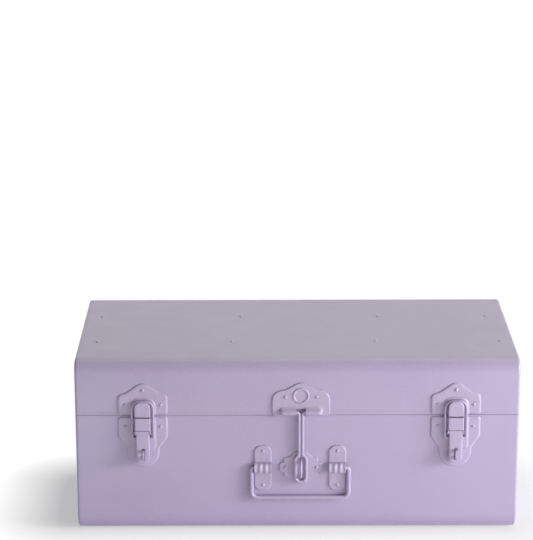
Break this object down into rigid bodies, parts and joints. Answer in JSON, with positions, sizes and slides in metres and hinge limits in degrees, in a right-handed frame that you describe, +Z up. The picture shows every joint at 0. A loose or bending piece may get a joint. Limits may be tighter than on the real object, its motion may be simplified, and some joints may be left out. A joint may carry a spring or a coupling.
{
  "type": "tin trunk",
  "caption": "Rectangular sheet-steel trunk with a hinged lid, draw latches, a wire hasp over a staple, a front drop handle and slotted lid stays.",
  "frame": {"origin": "middle of the flat bottom, on the floor", "axes": "+X to the right along the width seen from the front, +Y from front to back, +Z up"},
  "size_m": [0.5016, 0.2719, 0.2051],
  "materials": {
    "box_enamel": "satin lilac enamel",
    "fittings_enamel": "satin lilac enamel",
    "zinc_steel": "zinc plated"
  },
  "bodies": {
    "base": {"base_wrap": "box_enamel", "base_end_left": "box_enamel", "base_end_right": "box_enamel", "base_collar": "zinc_steel", "latch_plate_left": "fittings_enamel", "latch_plate_right": "fittings_enamel", "latch_pin_left": "fittings_enamel", "latch_pin_right": "fittings_enamel", "latch_plate_rivets": "fittings_enamel", "staple_plate": "fittings_enamel", "staple": "fittings_enamel", "staple_plate_rivets": "fittings_enamel", "handle_bracket_left": "fittings_enamel", "handle_bracket_right": "fittings_enamel", "handle_bracket_rivets": "fittings_enamel", "hinge_base_leaf_left": "fittings_enamel", "hinge_base_leaf_right": "fittings_enamel", "hinge_pin_left": "zinc_steel", "hinge_pin_right": "zinc_steel", "hinge_base_rivets": "fittings_enamel", "stay_stud_left": "zinc_steel", "stay_stud_right": "zinc_steel"},
    "lid": {"lid_wrap": "box_enamel", "lid_end_left": "box_enamel", "lid_end_right": "box_enamel", "lid_batten_front": "zinc_steel", "lid_batten_rear": "zinc_steel", "batten_rivets": "fittings_enamel", "keeper_left": "fittings_enamel", "keeper_right": "fittings_enamel", "keeper_rivets": "fittings_enamel", "hasp_plate": "fittings_enamel", "hasp_plate_rivets": "fittings_enamel", "hinge_lid_leaf_left": "fittings_enamel", "hinge_lid_leaf_right": "fittings_enamel", "hinge_lid_rivets": "fittings_enamel", "stay_pivot_left": "zinc_steel", "stay_pivot_right": "zinc_steel"},
    "lever_left": {"latch_lever_left": "fittings_enamel"},
    "lever_right": {"latch_lever_right": "fittings_enamel"},
    "bail_left": {"latch_bail_left": "fittings_enamel"},
    "bail_right": {"latch_bail_right": "fittings_enamel"},
    "hasp": {"hasp_loop": "fittings_enamel"},
    "handle": {"handle": "fittings_enamel"},
    "stay_left": {"lid_stay_left": "zinc_steel"},
    "stay_right": {"lid_stay_right": "zinc_steel"}
  },
  "joints": [
    {"name": "lid_hinge", "type": "hinge", "parent": "base", "child": "lid", "pos_m": [0, 0.1282, 0.1402], "axis": [-1, 0, 0], "range_deg": [0, 100]},
    {"name": "lever_left_hinge", "type": "hinge", "parent": "base", "child": "lever_left", "pos_m": [-0.1739, -0.1317, 0.1218], "axis": [-1, 0, 0], "range_deg": [0, 100]},
    {"name": "lever_right_hinge", "type": "hinge", "parent": "base", "child": "lever_right", "pos_m": [0.1781, -0.1317, 0.1218], "axis": [-1, 0, 0], "range_deg": [0, 100]},
    {"name": "bail_left_hinge", "type": "hinge", "parent": "lever_left", "child": "bail_left", "pos_m": [-0.1739, -0.1298, 0.1145], "axis": [-1, 0, 0], "range_deg": [-86.5, 0]},
    {"name": "bail_right_hinge", "type": "hinge", "parent": "lever_right", "child": "bail_right", "pos_m": [0.1781, -0.1298, 0.1145], "axis": [-1, 0, 0], "range_deg": [-86.5, 0]},
    {"name": "hasp_hinge", "type": "hinge", "parent": "lid", "child": "hasp", "pos_m": [0.004, -0.1286, 0.1443], "axis": [-1, 0, 0], "range_deg": [0, 170]},
    {"name": "handle_hinge", "type": "hinge", "parent": "base", "child": "handle", "pos_m": [0.0032, -0.1281, 0.0778], "axis": [-1, 0, 0], "range_deg": [0, 165]},
    {"name": "stay_left_hinge", "type": "hinge", "parent": "lid", "child": "stay_left", "pos_m": [-0.244, 0.06737, 0.1522], "axis": [-1, 0, 0], "range_deg": [-50, 0]},
    {"name": "stay_right_hinge", "type": "hinge", "parent": "lid", "child": "stay_right", "pos_m": [0.244, 0.06737, 0.1522], "axis": [-1, 0, 0], "range_deg": [-50, 0]}
  ],
  "couplings": [
    {"joint": "bail_left_hinge", "follows": "lever_left_hinge", "ratio": -0.865},
    {"joint": "bail_right_hinge", "follows": "lever_right_hinge", "ratio": -0.865},
    {"joint": "stay_left_hinge", "follows": "lid_hinge", "ratio": -0.5},
    {"joint": "stay_right_hinge", "follows": "lid_hinge", "ratio": -0.5}
  ]
}
